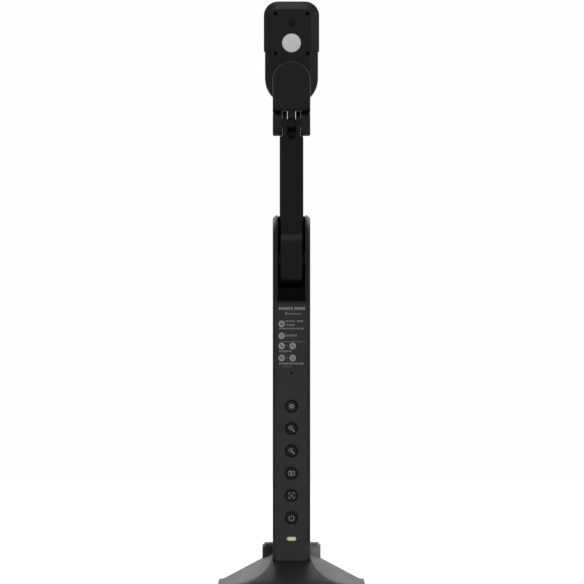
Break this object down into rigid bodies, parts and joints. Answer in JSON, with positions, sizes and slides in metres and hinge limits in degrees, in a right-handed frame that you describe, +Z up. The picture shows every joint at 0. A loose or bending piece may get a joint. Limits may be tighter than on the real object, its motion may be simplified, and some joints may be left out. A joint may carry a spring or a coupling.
{
  "type": "document camera",
  "caption": "Folding desk document camera: weighted base, slim column with buttons and status light, tilting arm and neck, and a swivelling camera head with lamp.",
  "frame": {"origin": "on the floor, under the middle of the base", "axes": "+Z up along the upright column, front with lens, label and buttons towards -Y, +X to the right seen from the front"},
  "size_m": [0.082, 0.066, 0.3276],
  "materials": {
    "base_paint": "satin black paint",
    "black_shell": "fine moulded texture, black",
    "panel": "smooth satin, black",
    "button_cap": "satin black",
    "label_film": "printed film",
    "steel": "plain steel",
    "screw_steel": "blackened steel",
    "iron": "raw casting",
    "rubber": "matt black",
    "circuit_board": "green solder mask",
    "component": "black moulding",
    "led": "yellow phosphor",
    "status_light": "lit, pale yellow-green",
    "lamp_cover": "translucent white diffuser",
    "lens_glass": "coated, dark",
    "cable_jacket": "thin black jacket"
  },
  "bodies": {
    "base": {"base_cover": "base_paint", "base_plate": "steel", "base_weight_left": "iron", "base_weight_right": "iron", "rubber_feet": "rubber", "base_plate_screws": "screw_steel", "base_hinge_pin": "steel", "base_hinge_washers": "component", "base_hinge_caps": "black_shell"},
    "column": {"column_front_cover": "panel", "column_rear_cover": "black_shell", "column_screws": "screw_steel", "column_hinge_sleeve": "steel", "main_board": "circuit_board", "tact_switches": "component", "status_led": "led", "status_light_pipe": "status_light", "microphone": "component", "port_board": "circuit_board", "board_connector": "component", "hdmi_socket": "steel", "usb_socket": "steel", "instruction_label": "label_film", "arm_hinge_pin": "steel", "arm_hinge_washers": "component", "arm_hinge_caps": "black_shell"},
    "arm": {"arm_front_shell": "black_shell", "arm_rear_shell": "black_shell", "arm_screws": "screw_steel", "arm_hinge_bush": "steel", "neck_hinge_bushes": "steel", "arm_cable": "cable_jacket"},
    "neck": {"neck_yoke": "black_shell", "neck_front_cover": "black_shell", "neck_hinge_pin": "screw_steel", "neck_hinge_caps": "black_shell", "swivel_shaft": "steel", "swivel_washer": "component", "swivel_retaining_ring": "steel"},
    "head": {"head_front_shell": "black_shell", "head_rear_shell": "black_shell", "head_screws": "screw_steel", "lens_window": "lens_glass", "lens_element": "lens_glass", "lens_barrel": "component", "sensor_board": "circuit_board", "image_sensor": "component", "lamp_diffuser": "lamp_cover", "lamp_board": "circuit_board", "lamp_leds": "led"},
    "button_brightness": {"button_brightness": "button_cap"},
    "button_zoom_in": {"button_zoom_in": "button_cap"},
    "button_zoom_out": {"button_zoom_out": "button_cap"},
    "button_capture": {"button_capture": "button_cap"},
    "button_focus": {"button_focus": "button_cap"},
    "button_power": {"button_power": "button_cap"}
  },
  "joints": [
    {"name": "column_tilt", "type": "hinge", "parent": "base", "child": "column", "pos_m": [0, 0, 0.0185], "axis": [-1, 0, 0], "range_deg": [-30, 85]},
    {"name": "arm_tilt", "type": "hinge", "parent": "column", "child": "arm", "pos_m": [0, 0, 0.1814], "axis": [1, 0, 0], "range_deg": [-15, 125]},
    {"name": "neck_tilt", "type": "hinge", "parent": "arm", "child": "neck", "pos_m": [0, 0, 0.2587], "axis": [1, 0, 0], "range_deg": [-30, 90]},
    {"name": "head_swivel", "type": "hinge", "parent": "neck", "child": "head", "pos_m": [0, 0.0105, 0.2825], "axis": [0, 1, 0], "range_deg": [-135, 135]},
    {"name": "brightness_press", "type": "slide", "parent": "column", "child": "button_brightness", "axis": [0, 1, 0], "range_m": [0, 0.0005], "stiffness_N_per_m": 800, "springref_m": -0.0003},
    {"name": "zoom_in_press", "type": "slide", "parent": "column", "child": "button_zoom_in", "axis": [0, 1, 0], "range_m": [0, 0.0005], "stiffness_N_per_m": 800, "springref_m": -0.0003},
    {"name": "zoom_out_press", "type": "slide", "parent": "column", "child": "button_zoom_out", "axis": [0, 1, 0], "range_m": [0, 0.0005], "stiffness_N_per_m": 800, "springref_m": -0.0003},
    {"name": "capture_press", "type": "slide", "parent": "column", "child": "button_capture", "axis": [0, 1, 0], "range_m": [0, 0.0005], "stiffness_N_per_m": 800, "springref_m": -0.0003},
    {"name": "focus_press", "type": "slide", "parent": "column", "child": "button_focus", "axis": [0, 1, 0], "range_m": [0, 0.0005], "stiffness_N_per_m": 800, "springref_m": -0.0003},
    {"name": "power_press", "type": "slide", "parent": "column", "child": "button_power", "axis": [0, 1, 0], "range_m": [0, 0.0005], "stiffness_N_per_m": 800, "springref_m": -0.0003}
  ]
}
